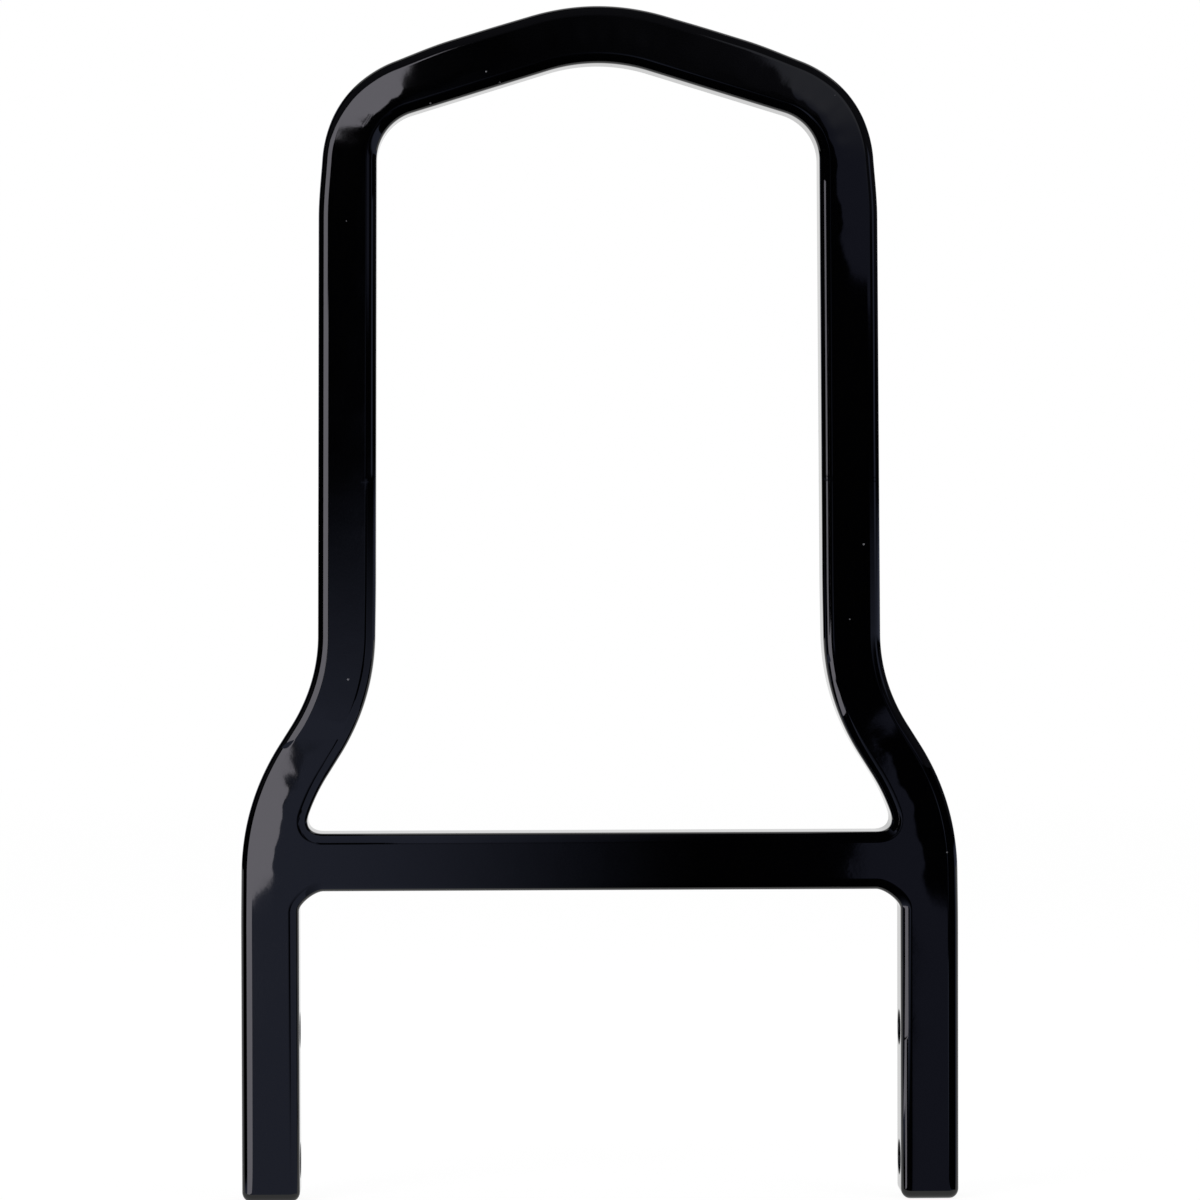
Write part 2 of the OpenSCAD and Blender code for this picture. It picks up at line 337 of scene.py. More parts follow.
class Skin:
    """Points, normals and faces of the coat, built for the right half and mirrored."""

    def __init__(self):
        self.points = []
        self.normals = []
        self.faces = []

    def add(self, point, normal):
        """Adds a point and its normal, and gives the point's number."""
        size = math.sqrt(sum(v * v for v in normal))
        self.points.append(tuple(point))
        self.normals.append(tuple(v / size for v in normal))
        return len(self.points) - 1

    def strip(self, first, second, closed=False):
        """Quads between two rows of as many points."""
        for k in range(len(first) if closed else len(first) - 1):
            n = (k + 1) % len(first)
            self.faces.append((first[k], first[n], second[n], second[k]))

    def whole(self):
        """Both halves, joined where they meet, with every face turned outward."""
        points, normals, index, faces = [], [], {}, []
        for side in (1, -1):
            numbers = []
            for (x, y, z), (nx, ny, nz) in zip(self.points, self.normals):
                key = tuple(round(v * SAME_PLACE) for v in (side * x, y, z))
                if key not in index:
                    index[key] = len(points)
                    points.append((side * x, y, z))
                    normals.append((side * nx, ny, nz))
                numbers.append(index[key])
            faces += [tuple(numbers[i] for i in face) for face in self.faces]
        where, facing = np.array(points), np.array(normals)
        turned = []
        for face in faces:
            corners = where[list(face)]
            area = sum((np.cross(corners[k] - corners[0], corners[k + 1] - corners[0])
                        for k in range(1, len(face) - 1)), np.zeros(3))
            outward = np.dot(area, facing[list(face)].sum(axis=0)) > 0
            turned.append(face if outward else face[::-1])
        return points, normals, turned


def edge_normal(a, wide, deep):
    """Normal of a rounded edge at a turn round its ellipse."""
    across, through = math.sin(a) / wide, math.cos(a) / deep
    size = math.hypot(across, through)
    return across / size, through / size


class Section:
    """The bar's section at one station, with its places and normals as (across, through)."""

    def __init__(self, path, s, inset=0.0):
        size = path.size
        self.wide = max(size.edge_width - inset, LEAST_CORNER)
        self.deep = max(size.edge_depth - inset, LEAST_CORNER)
        self.half_y = path.half - inset
        self.start = path.dish_line(s)
        self.width = {sign: path.half - inset - path.lost_width(s, sign) for sign in (1, -1)}
        reach = self.width[1] - self.wide - self.start
        self.steep = path.dish(s) / reach / (1 - SETTING_IN / 2)
        self.meet = {-1: self.width[-1] - self.wide, 1: self.width[1] - self.wide * (
            1 - math.sin(self.turn_at(self.steep)))}

    def turn_at(self, slope):
        """Where on the rounded edge, as a turn round its ellipse, it has a slope."""
        return math.atan(slope * self.wide / self.deep)

    def depth(self, n):
        """Depth of the dish and its slope at a place across the face."""
        reach = self.meet[1] - self.start
        t = max(0.0, (n - self.start) / reach)
        settled = t - SETTING_IN / 2 if t > SETTING_IN else t * t / (2 * SETTING_IN)
        return self.steep * reach * settled, self.steep * min(1.0, t / SETTING_IN)

    def face(self):
        """The front face from its inner edge to its outer edge."""
        row = []
        for k in range(FACE_STEPS + 1):
            n = -self.meet[-1] + (self.meet[1] + self.meet[-1]) * k / FACE_STEPS
            depth, slope = self.depth(n)
            size = math.hypot(slope, 1.0)
            row.append((n, self.half_y - depth, slope / size, 1.0 / size))
        return row

    def band(self, sign):
        """A side with its rounded edges, between the front face and the back face."""
        depth, slope = self.depth(sign * self.meet[sign])
        first = self.turn_at(sign * slope)
        centre = (self.width[sign] - self.wide, self.half_y - depth - self.deep * math.cos(first))
        edge = []
        for k in range(1, CORNER_STEPS + 1):
            a = first + (math.pi / 2 - first) * k / CORNER_STEPS
            across, through = edge_normal(a, self.wide, self.deep)
            edge.append((sign * (centre[0] + self.wide * math.sin(a)),
                         centre[1] + self.deep * math.cos(a), sign * across, through))
        across, through = edge[-1][:2]
        flat = [(across, through * (1 - 2 * k / SIDE_STEPS), sign, 0.0)
                for k in range(1, SIDE_STEPS)]
        return edge + flat + [(n, -y, nn, -ny) for n, y, nn, ny in edge[::-1]]

    def ring(self):
        """The whole section: front face, outer side, back face and inner side."""
        face = self.face()
        back = [(n, -y, nn, -ny) for n, y, nn, ny in face[::-1]]
        return face + self.band(1) + back + self.band(-1)[::-1]


# Points of a side with its rounded edges, and where the parts of a ring start
BAND = 2 * CORNER_STEPS + SIDE_STEPS - 1
OUTER_FRONT = FACE_STEPS
OUTER_BACK = OUTER_FRONT + BAND + 1
INNER_BACK = OUTER_BACK + FACE_STEPS


def outer_band(ring):
    """Points of a ring over its outer side, from the front face to the back face."""
    return ring[OUTER_FRONT:OUTER_BACK + 1]


def inner_band(ring):
    """Points of a ring over its inner side, from the front face to the back face."""
    return [ring[0]] + ring[INNER_BACK:][::-1]


def add_rings(skin, places, profiles, curls):
    """Adds the points of a swept bar. Places are (distance, x, z, heading)."""
    rows = np.array(profiles)
    along = np.array([place[0] for place in places])
    growth = np.gradient(rows[:, :, :2], along, axis=0)
    growth[0] = growth[-1] = 0.0
    rings = []
    for (_, x, z, heading), row, change, curl in zip(places, rows, growth, curls):
        c, d = math.cos(heading), math.sin(heading)
        ring = []
        for (n, y, nn, ny), (dn, dy) in zip(row, change):
            lean = -(nn * dn + ny * dy) / (1 + n * curl)
            ring.append(skin.add((x + n * c, -y, z + n * d),
                                 (nn * c - lean * d, -ny, nn * d + lean * c)))
        rings.append(ring)
    return rings


def end_cap(skin, path):
    """Rounded leg end, from its lowest ring up to the leg's first ring."""
    rings = []
    for k in range(END_RINGS, 0, -1):
        a = math.pi / 2 * k / END_RINGS
        section = Section(path, 0.0, path.size.end_round * (1 - math.cos(a)))
        z = path.size.end_round * (1 - math.sin(a))
        rings.append([skin.add((path.leg_x + n, -y, z),
                               (nn * math.cos(a), -ny * math.cos(a), -math.sin(a)))
                      for n, y, nn, ny in section.ring()])
    for low, high in zip(rings, rings[1:]):
        skin.strip(low, high, closed=True)
    skin.faces.append(tuple(rings[0]))
    return rings[-1]


def bored_leg(skin, path, rings, first, last, height):
    """Replaces the side faces between two rings by mouths, and joins them by a bore."""
    size = path.size
    rows = []
    for band, sign in ((outer_band, 1), (inner_band, -1)):
        net = [band(ring)[CORNER_STEPS:-CORNER_STEPS] for ring in rings[first:last + 1]]
        border = (net[0][:-1] + [row[-1] for row in net[:-1]] + net[-1][:0:-1]
                  + [row[0] for row in net[:0:-1]])
        wall = skin.points[border[0]][0]
        steps = []
        for k in range(MOUTH_STEPS + 1):
            a = math.pi / 2 * k / MOUTH_STEPS
            radius = size.hole_bore / 2 + size.mouth_round * (1 - math.sin(a))
            x = wall - sign * size.mouth_round * (1 - math.cos(a))
            row = []
            for i in border:
                y, z = skin.points[i][1], skin.points[i][2] - height
                far = math.hypot(y, z)
                row.append(skin.add(
                    (x, y / far * radius, height + z / far * radius),
                    (sign * math.cos(a), -y / far * math.sin(a), -z / far * math.sin(a))))
            steps.append(row)
        skin.strip(border, steps[0], closed=True)
        for inner, outer in zip(steps, steps[1:]):
            skin.strip(inner, outer, closed=True)
        rows.append(steps[-1])
    skin.strip(rows[0], rows[1], closed=True)


def fillet(skin, path, start, stop, out_start, out_stop, start_band, stop_band, fullness):
    """Ground fillet between the crossbar and the hoop, as a band swept along a curve.

    The curve leaves the crossbar and reaches the hoop without a crease. For its start and its
    stop come the place, the wall's outward direction and the band of points to join.
    """
    half, wide, deep = path.half, path.size.edge_width, path.size.edge_depth
    start, stop, out_stop = np.array(start), np.array(stop), np.array(out_stop)
    # Both walls meet where their lines cross
    corner = start + np.array((np.dot(stop - start, out_stop) / out_stop[0], 0.0))
    handles = [start, start + fullness * (corner - start), stop + fullness * (corner - stop), stop]
    profile = []
    for k in range(1, CORNER_STEPS + 1):
        a = math.pi / 2 * k / CORNER_STEPS
        profile.append((wide * (1 - math.sin(a)), half - deep * (1 - math.cos(a)),
                        *edge_normal(a, wide, deep)))
    through = profile[-1][1]
    profile += [(0.0, through * (1 - 2 * k / SIDE_STEPS), 1.0, 0.0) for k in range(1, SIDE_STEPS)]
    profile += [(d, -y, nn, -ny) for d, y, nn, ny in profile[CORNER_STEPS - 1::-1]]
    profile = [(wide, half, 0.0, 1.0)] + profile + [(wide, -half, 0.0, -1.0)]
    bands = [start_band]
    for k in range(1, FILLET_STEPS):
        t = k / FILLET_STEPS
        weights = ((1 - t) ** 3, 3 * t * (1 - t) ** 2, 3 * t * t * (1 - t), t ** 3)
        slopes = (-3 * (1 - t) ** 2, 3 * (1 - t) * (1 - 3 * t), 3 * t * (2 - 3 * t), 3 * t * t)
        here = sum(w * h for w, h in zip(weights, handles))
        heading = sum(w * h for w, h in zip(slopes, handles))
        out = np.array((-heading[1], heading[0])) / np.linalg.norm(heading)
        out *= out_start[1]
        bands.append([skin.add((here[0] - d * out[0], -y, here[1] - d * out[1]),
                               (nn * out[0], -ny, nn * out[1])) for d, y, nn, ny in profile])
    bands.append(stop_band)
    for low, high in zip(bands, bands[1:]):
        skin.strip(low, high)
    return [band[0] for band in bands], [band[-1] for band in bands]


def welded_frame(size):
    """The skin of the whole welded frame: hoop, crossbar and ground welds under one coat."""
    path, skin = Path(size), Skin()
    half = path.half
    # Toes of the fillets: heights on the hoop's inner wall, and a place along the crossbar
    top, bottom = size.crossbar_height + half, size.crossbar_height - half
    toe_low = bottom - size.lower_reach
    toe_high = top + size.upper_reach
    wall_r = size.flare_low_radius - half
    turn = math.asin((toe_high - size.leg_height) / wall_r)
    s_low = toe_low - size.end_round
    s_high = path.starts[1][0] + size.flare_low_radius * turn

    def wall(z):
        """Place of the hoop's inner wall."""
        above = max(0.0, z - size.leg_height)
        return path.leg_x - size.flare_low_radius + math.sqrt(wall_r ** 2 - above ** 2)

    bar_end = min(wall(top) - size.upper_reach, wall(bottom) - size.lower_reach)
    # The hoop
    mouth = size.hole_bore / 2 + size.mouth_round + MOUTH_MARGIN
    holes = [size.hole_low, size.hole_low + size.hole_pitch]
    edges = [z + side * mouth - size.end_round for z in holes for side in (-1, 1)]
    stations = path.stations([s_low, s_high] + edges)
    profiles = [Section(path, s).ring() for s in stations]
    rings = add_rings(skin, [path.at(s) for s in stations], profiles,
                      [path.curl(s) for s in stations])
    foot = end_cap(skin, path)
    skin.strip(foot, rings[0], closed=True)
    low, high = stations.index(s_low), stations.index(s_high)
    bores = [(stations.index(edges[2 * k]), stations.index(edges[2 * k + 1])) for k in (0, 1)]
    for i, (below, above) in enumerate(zip(rings, rings[1:])):
        skin.strip(below[:OUTER_FRONT + 1], above[:OUTER_FRONT + 1])
        skin.strip(below[OUTER_BACK:INNER_BACK + 1], above[OUTER_BACK:INNER_BACK + 1])
        bored = any(first <= i < last for first, last in bores)
        for band in (outer_band, inner_band):
            if band is inner_band and low <= i < high:
                continue
            one, two = band(below), band(above)
            if bored:
                skin.strip(one[:CORNER_STEPS + 1], two[:CORNER_STEPS + 1])
                skin.strip(one[-CORNER_STEPS - 1:], two[-CORNER_STEPS - 1:])
            else:
                skin.strip(one, two)
    for (first, last), z in zip(bores, holes):
        bored_leg(skin, path, rings, first, last, z)
    # The crossbar, from its end at the toes to its middle
    steps = math.ceil(bar_end / RUN_STEP)
    straight = Section(path, path.pieces[0][0] / 2).ring()
    places = [(bar_end * k / steps, bar_end * (1 - k / steps), size.crossbar_height, math.pi / 2)
              for k in range(steps + 1)]
    bars = add_rings(skin, places, [straight] * len(places), [0.0] * len(places))
    for one, two in zip(bars, bars[1:]):
        skin.strip(one, two, closed=True)
    # The welds
    upper = fillet(skin, path, (bar_end, top), (wall(toe_high), toe_high), (0.0, 1.0),
                   (-math.cos(turn), -math.sin(turn)), outer_band(bars[0]),
                   inner_band(rings[high]), size.upper_fullness)
    lower = fillet(skin, path, (bar_end, bottom), (wall(toe_low), toe_low), (0.0, -1.0),
                   (-1.0, 0.0), inner_band(bars[0]), inner_band(rings[low]),
                   size.lower_fullness)
    for k, inner, face in ((0, 0, slice(1, OUTER_FRONT)),
                           (1, INNER_BACK, slice(INNER_BACK - 1, OUTER_BACK, -1))):
        wall_line = [ring[inner] for ring in rings[low:high + 1]]
        skin.faces.append(tuple(wall_line + upper[k][-2::-1] + bars[0][face][::-1]
                                + lower[k][:-1]))
    return skin.whole()


class Term:
    """A socket of a shader, so that its maths reads as ordinary sums."""

    def __init__(self, tree, socket=None):
        self.tree = tree
        self.socket = socket

    def node(self, kind, values=None, settings=None, output=0):
        """Adds a node: its settings first, then the values or links of its sockets."""
        made = self.tree.nodes.new(kind)
        for name, value in (settings or {}).items():
            setattr(made, name, value)
        for name, value in (values or {}).items():
            socket = made.inputs[name]
            if isinstance(value, Term):
                self.tree.links.new(value.socket, socket)
            else:
                socket.default_value = value
        return Term(self.tree, made.outputs[output] if made.outputs else None)

    def output(self, name):
        """Another output of the same node."""
        return Term(self.tree, self.socket.node.outputs[name])

    def maths(self, operation, *terms):
        """A maths node over terms and plain numbers."""
        return self.node("ShaderNodeMath", dict(enumerate(terms)), {"operation": operation})

    def __add__(self, other):
        return self.maths("ADD", self, other)

    __radd__ = __add__

    def __sub__(self, other):
        return self.maths("SUBTRACT", self, other)

    def __rsub__(self, other):
        return self.maths("SUBTRACT", other, self)

    def __mul__(self, other):
        return self.maths("MULTIPLY", self, other)

    __rmul__ = __mul__

    def __truediv__(self, other):
        return self.maths("DIVIDE", self, other)

    def between(self, low, high):
        """0 below a value and 1 above another, with a smooth step between them."""
        return self.node("ShaderNodeMapRange",
                         {"Value": self, "From Min": low, "From Max": high},
                         {"interpolation_type": "SMOOTHSTEP"})

    def within(self, start, stop):
        """1 between two soft edges, each a pair of values, and 0 beyond them."""
        return self.between(*start) * (1 - self.between(*stop))

    def blend(self, first, second):
        """Colour that goes from the first to the second as this goes from 0 to 1."""
        first, second = (shade if isinstance(shade, Term) else opaque(shade)
                         for shade in (first, second))
        return self.node("ShaderNodeMix", {"Factor": self, MIX_FIRST: first, MIX_SECOND: second},
                         {"data_type": "RGBA"}, MIX_RESULT)


# The mix node's sockets for colours, by number because others share their names
MIX_FIRST = 6
MIX_SECOND = 7
MIX_RESULT = 2
WHITE = (1.0, 1.0, 1.0)
BLACK = (0.0, 0.0, 0.0)


def new_material(name):
    """A material with an empty shader, and the term that its nodes are made from."""
    material = bpy.data.materials.new(name)
    material.use_nodes = True
    material.node_tree.nodes.clear()
    return material, Term(material.node_tree)


def surface(term):
    """Puts a shader on the material's output."""
    term.node("ShaderNodeOutputMaterial", {"Surface": term})


def opaque(shade):
    """A colour with its full opacity, as a socket takes it."""
    return (*shade, 1.0)


def own_place(make):
    """The place on an object, in its own coordinates."""
    return make.node("ShaderNodeTexCoord", output="Object")


def noise(place, cells, detail):
    """Cloudy noise round a half, with a number of cells in a metre."""
    return place.node("ShaderNodeTexNoise", {"Vector": place, "Scale": cells, "Detail": detail})


# Detail of the noise in the peel, the waves and the haze
PEEL_DETAIL = 1.5
WAVE_DETAIL = 1.0
HAZE_DETAIL = 3.0
# Haze: cells in a metre, the noise at which it starts and is full, and its roughness
HAZE_CELLS = 38.0
HAZE_RANGE = (0.45, 0.8)
HAZE_ROUGHNESS = 0.03
# Dust: cells in a metre, which lots have a speck, a speck's soft edge, and its roughness
DUST_CELLS = 260.0
DUSTY_LOTS = (0.945, 0.95)
SPECK_EDGE = (0.05, 0.09)
SPECK_ROUGHNESS = 0.4


def coat_material(look):
    """Gloss black powder coat: a fine orange peel over slow waves, and a few specks of dust."""
    material, make = new_material("gloss_black_coat")
    place = own_place(make)
    peel = noise(place, 1 / look.peel_size, PEEL_DETAIL)
    waves = noise(place, 1 / look.wave_size, WAVE_DETAIL)
    haze = noise(place, HAZE_CELLS, HAZE_DETAIL).between(*HAZE_RANGE)
    # A cell's spot is a speck of dust if the cell's lot says so
    spot = make.node("ShaderNodeTexVoronoi", {"Vector": place, "Scale": DUST_CELLS})
    lot = make.node("ShaderNodeSeparateColor", {"Color": spot.output("Color")})
    speck = (1 - spot.between(*SPECK_EDGE)) * lot.between(*DUSTY_LOTS)
    surface(make.node("ShaderNodeBsdfPrincipled", {
        "Base Color": speck.blend(look.black, look.dust),
        "Roughness": look.roughness + HAZE_ROUGHNESS * haze + SPECK_ROUGHNESS * speck,
        "IOR": look.gloss_index,
        "Normal": make.node("ShaderNodeBump", {
            "Height": peel * look.peel_depth + waves * look.wave_depth,
            "Distance": 1.0, "Strength": 1.0}),
    }))
    return material


def link(name, mesh):
    """Puts a mesh, a lamp or a camera in the scene."""
    made = bpy.data.objects.new(name, mesh)
    bpy.context.scene.collection.objects.link(made)
    return made


class FRAME_OT_welded_frame(Operator):
    """Build the welded frame under its coat, over the hoop, the crossbar and the welds."""

    bl_idname = "frame.welded_frame"
    bl_label = "Welded frame"

    def execute(self, context):
        points, normals, faces = welded_frame(context.scene.frame_sizes)
        mesh = bpy.data.meshes.new("welded_frame")
        mesh.from_pydata(points, [], faces)
        for polygon in mesh.polygons:
            polygon.use_smooth = True
        mesh.normals_split_custom_set_from_vertices(normals)
        if mesh.validate():
            raise RuntimeError("the frame's skin has faults")
        mesh.materials.append(coat_material(context.scene.coat_look))
        made = link("welded_frame", mesh)
        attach(made, "root")
        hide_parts("hoop", "crossbar", "weld_left", "weld_right")
        return {"FINISHED"}


class FRAME_OT_stage(Operator):
    """Set out the floor, the lamps, the cards round the camera, and the camera."""

    bl_idname = "frame.stage"
    bl_label = "Stage"

    def execute(self, context):
        look = context.scene.stage_look
        build_floor(look)
        build_world(context.scene)
        build_cards(look)
        build_lamps()
        build_camera(context.scene, look)
        context.scene.view_settings.view_transform = "Standard"
        return {"FINISHED"}


# The floor's reach, and its glow's share near the object, which grows between two distances
FLOOR_REACH = 14.0
GLOW_SHARE = 0.93
NEAR_FLOOR = 0.3
FAR_FLOOR = 2.0
# Share of the white surround that lights the object
WORLD_LIGHT = 0.6
# Each lamp's place, side and power
LAMPS = {
    "key_lamp": ((-1.5, -1.7, 1.6), 1.0, 26.0),
    "fill_lamp": ((1.7, -1.4, 1.2), 1.0, 12.0),
    "top_lamp": ((0.0, 0.3, 2.2), 1.4, 20.0),
}
LAMP_AIM = (0.0, 0.0, 0.15)
# The camera's film in millimetres, and where the aim point stands on it as shares of its width
FILM_WIDTH = 36.0
SHIFT_ACROSS = 0.00095
SHIFT_UP = 0.00345


def sheet_mesh(name, rows):
    """A mesh of quads over rows of points."""
    width = len(rows[0])
    faces = [(i * width + k, i * width + k + 1, (i + 1) * width + k + 1, (i + 1) * width + k)
             for i in range(len(rows) - 1) for k in range(width - 1)]
    mesh = bpy.data.meshes.new(name)
    mesh.from_pydata([point for row in rows for point in row], [], faces)
    for polygon in mesh.polygons:
        polygon.use_smooth = True
    return mesh


def level_sheet(height, across, along):
    """Rows of a level sheet's points."""
    return [[(x, y, height) for x in across] for y in along]


def upright_sheet(line, heights):
    """Rows of an upright sheet's points, over a line on the floor."""
    return [[(x, y, z) for x, y in line] for z in heights]


def drawn_sheet(line, along):
    """Rows of a sheet's points, over a line of places across and heights."""
    return [[(x, y, z) for x, z in line] for y in along]


def seen_directly(make):
    """1 for the rays of the camera, of gloss and of glass, and 0 for the rest."""
    camera = make.node("ShaderNodeLightPath", output="Is Camera Ray")
    seen = camera + camera.output("Is Glossy Ray") + camera.output("Is Transmission Ray")
    return seen.maths("MINIMUM", seen, 1.0)


def stage_place(make):
    """X, Y and Z of a place on the stage."""
    x = make.node("ShaderNodeSeparateXYZ", {"Vector": own_place(make)})
    return x, x.output("Y"), x.output("Z")


def build_floor(look):
    """A pale floor, which glows toward the white of the surround."""
    reach = (-FLOOR_REACH, 0.0, FLOOR_REACH)
    floor = link("floor", sheet_mesh("floor", level_sheet(0.0, reach, reach)))
    material, make = new_material("pale_floor")
    lit = make.node("ShaderNodeBsdfDiffuse", {"Color": opaque(look.floor_colour)})
    glowing = make.node("ShaderNodeEmission", {"Strength": seen_directly(make)})
    x, y, _ = stage_place(make)
    far = (x * x + y * y).between(NEAR_FLOOR ** 2, FAR_FLOOR ** 2)
    glow = GLOW_SHARE + (1 - GLOW_SHARE) * far
    surface(make.node("ShaderNodeMixShader", {0: glow, 1: lit, 2: glowing}))
    floor.data.materials.append(material)
    floor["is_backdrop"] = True


def build_world(scene):
    """A white surround, which lights the object with a share of its strength."""
    world = bpy.data.worlds.new("studio")
    world.use_nodes = True
    world.node_tree.nodes.clear()
    make = Term(world.node_tree)
    strength = WORLD_LIGHT + (1 - WORLD_LIGHT) * seen_directly(make)
    make.node("ShaderNodeOutputWorld", {"Surface": make.node(
        "ShaderNodeBackground", {"Color": opaque(WHITE), "Strength": strength})})
    scene.world = world


# The camera's mirror image in the coat's front
MIRROR_DISTANCE = 1.453
MIRROR_ACROSS = -0.035
MIRROR_HEIGHT = 0.198
# The coat's front, and how far the left leg's middle and outer side stand from the middle
FRONT_FACE = -0.008
LEFT_LEG = 0.091
LEFT_SIDE = 0.0995

# Panels of painted reflection on the dark sheets, as the coat's front shows them. A pair of
# numbers is where a soft edge starts and ends, across or up.
AHEAD_ACROSS = ((-0.075, -0.055), (-0.035, 0.045))
AHEAD_TOP = (-0.055, 0.01)
# Its top stands higher over these places, for the crossbar's upper edge
LIFT = 0.075
LIFT_ACROSS = ((-0.02, -0.012), (0.05, 0.06))
FAR_LEFT = (0.13, 0.17)
# The far panel's foot slopes down to the right
FAR_FOOT = (-0.1, -0.03)
FAR_SLOPE = 0.82
# The left edge of the panel beyond leans out upward, and stands further in over its lowest part
BEYOND_LEFT = (0.0705, 0.0725)
BEYOND_RIGHT = (0.092, 0.1)
BEYOND_TOP = (-0.052, -0.044)
BEYOND_LEAN = 0.27
BEYOND_LEAN_FROM = -0.073
BEYOND_INSET = 0.011
BEYOND_INSET_TOP = (-0.084, -0.0765)
# The panel above leans too, and grows brighter upward
ABOVE_LEFT = (0.078, 0.086)
ABOVE_RIGHT = (0.3, 0.36)
ABOVE_UP = ((0.025, 0.045), (0.28, 0.36))
ABOVE_LEAN = 0.2
ABOVE_LEAN_FROM = 0.1
ABOVE_BRIGHT = (0.07, 0.17)
# A strip at the far right, for the thin lines on the rounded edges that face right
STRIP_ACROSS = ((0.6, 0.65), (0.88, 0.94))
STRIP_UP = ((-0.04, 0.0), (0.16, 0.22))
# Painted sheen: the faint panel that the roof shows
SHEEN_LEFT = (-0.01, 0.07)
SHEEN_FOOT = (0.068, 0.08)
OVERHEAD_FOOT = (0.05, 0.35)
# Edges in metres, on the ceiling and on the mat
OVERHEAD_BACK = (-0.3, 0.0)
MAT_TOP = (0.001, 0.002)
MAT_GLOW_LEFT = (0.0835, 0.0855)
MAT_GLOW_FRONT = (-0.8, -0.65)

# The softbox, a painted reflection on a card that only gloss sees: its plane, its left edge, and
# the place of its right edge at some heights
SOFTBOX_Y = -0.41
SOFTBOX_LEFT = -0.54
SOFTBOX_EDGE = ((0.0005, -0.1206), (0.345, -0.1206), (0.35, -0.083), (0.45, -0.079))
# Its foot on the mat, as seen from the left leg's outer side
FOOT_ACROSS = ((-1.15, -1.05), (-0.064, -0.056))
FOOT_FRONT = (SOFTBOX_Y - 0.005, SOFTBOX_Y)
# The flag before it: its left edge as seen from the left leg, its foot and its ragged top
FLAG_LEFT = (-0.25, -0.23)
FLAG_FOOT = (0.255, 0.275)
FLAG_TOP = (0.346, 0.354)
RAGGED_HEIGHT = 0.05
RAGGED_CELLS = 110.0
RAGGED_DETAIL = 2.0

# Painted reflections: dark sheets that only gloss sees, as a tent round the stage, its ceiling,
# and a mat before the frame
TENT_RADIUS = 2.4
TENT_HEIGHT = 2.6
TENT_STEPS = 72
TENT_REACH = math.radians(140)
CEILING_BACK = 0.5
MAT_BACK = -0.012
MAT_LIFT = 0.0004

# Level black cards, painted dark reflections that only gloss sees, for the roof's underside and
# the window's corners: height, across and along
SLATS = {
    "low_slat": (0.102, (-0.066, 0.066), (-1.2, -0.2)),
    "high_slat": (0.2, (-0.066, 0.12), (-0.6, -0.01)),
}
# Upright black cards, painted dark reflections that only gloss sees, as their line on the floor
# and their heights: for the corners of the right flare and shoulder, the outside of the right leg
# and the back of its glow, and a barn door beside the softbox, which narrows the right upper
# side's bright line
UPRIGHTS = {
    "corner_flag": (((0.055, -0.06), (0.055, -0.009)), (0.0885, 0.128)),
    "shoulder_flag": (((0.045, -0.08), (0.045, -0.009)), (0.283, 0.296)),
    "leg_flag": (((0.105, -0.045), (0.105, -0.009)), (0.0005, 0.125)),
    "leg_glow_back": (((0.0699, -0.0345), (0.0699, -0.0165)), (0.0005, 0.042)),
    "barn_door": (((-0.1208, -0.408), (-0.11, -0.21)), (0.145, 0.3)),
}
# A painted highlight: the glowing card for the bright line inside the right leg, and a slat over
# it along the rays that reach it
LEG_GLOW = (((0.07, -0.0235), (0.07, -0.0165)), (0.0005, 0.042))
LEG_SLAT = ((0.0695, 0.0425), (0.0775, 0.0441))
LEG_SLAT_ALONG = (-0.04, -0.009)
# Dim glowing cards, painted reflections along the inside of the left leg, flare and upper side,
# which fade upward
LEFT_GLOWS = (((-0.078, 0.0005), (-0.078, 0.08)),
              ((-0.075, 0.1045), (-0.0715, 0.12), (-0.062, 0.138), (-0.057, 0.15), (-0.056, 0.2)))
LEFT_GLOW_ALONG = (-0.03, -0.0085)
LEFT_GLOW_FADE = (0.118, 0.2)
# Dim glowing level cards, painted reflections over the crossbar's left end and, fading to the
# right, under the high slat
CORNER_GLOW = (0.128, (-0.092, -0.048), (-0.12, -0.009))
SLAT_GLOW_DROP = 0.001
SLAT_GLOW_FADE = (-0.1, 0.045)
SLAT_GLOW_GAIN = 1.4


def leaning(across, up, lean, start):
    """Places across, as they count for an edge that leans to the right above a height."""
    above = up - start
    return across - lean * above.maths("MAXIMUM", above, 0.0)


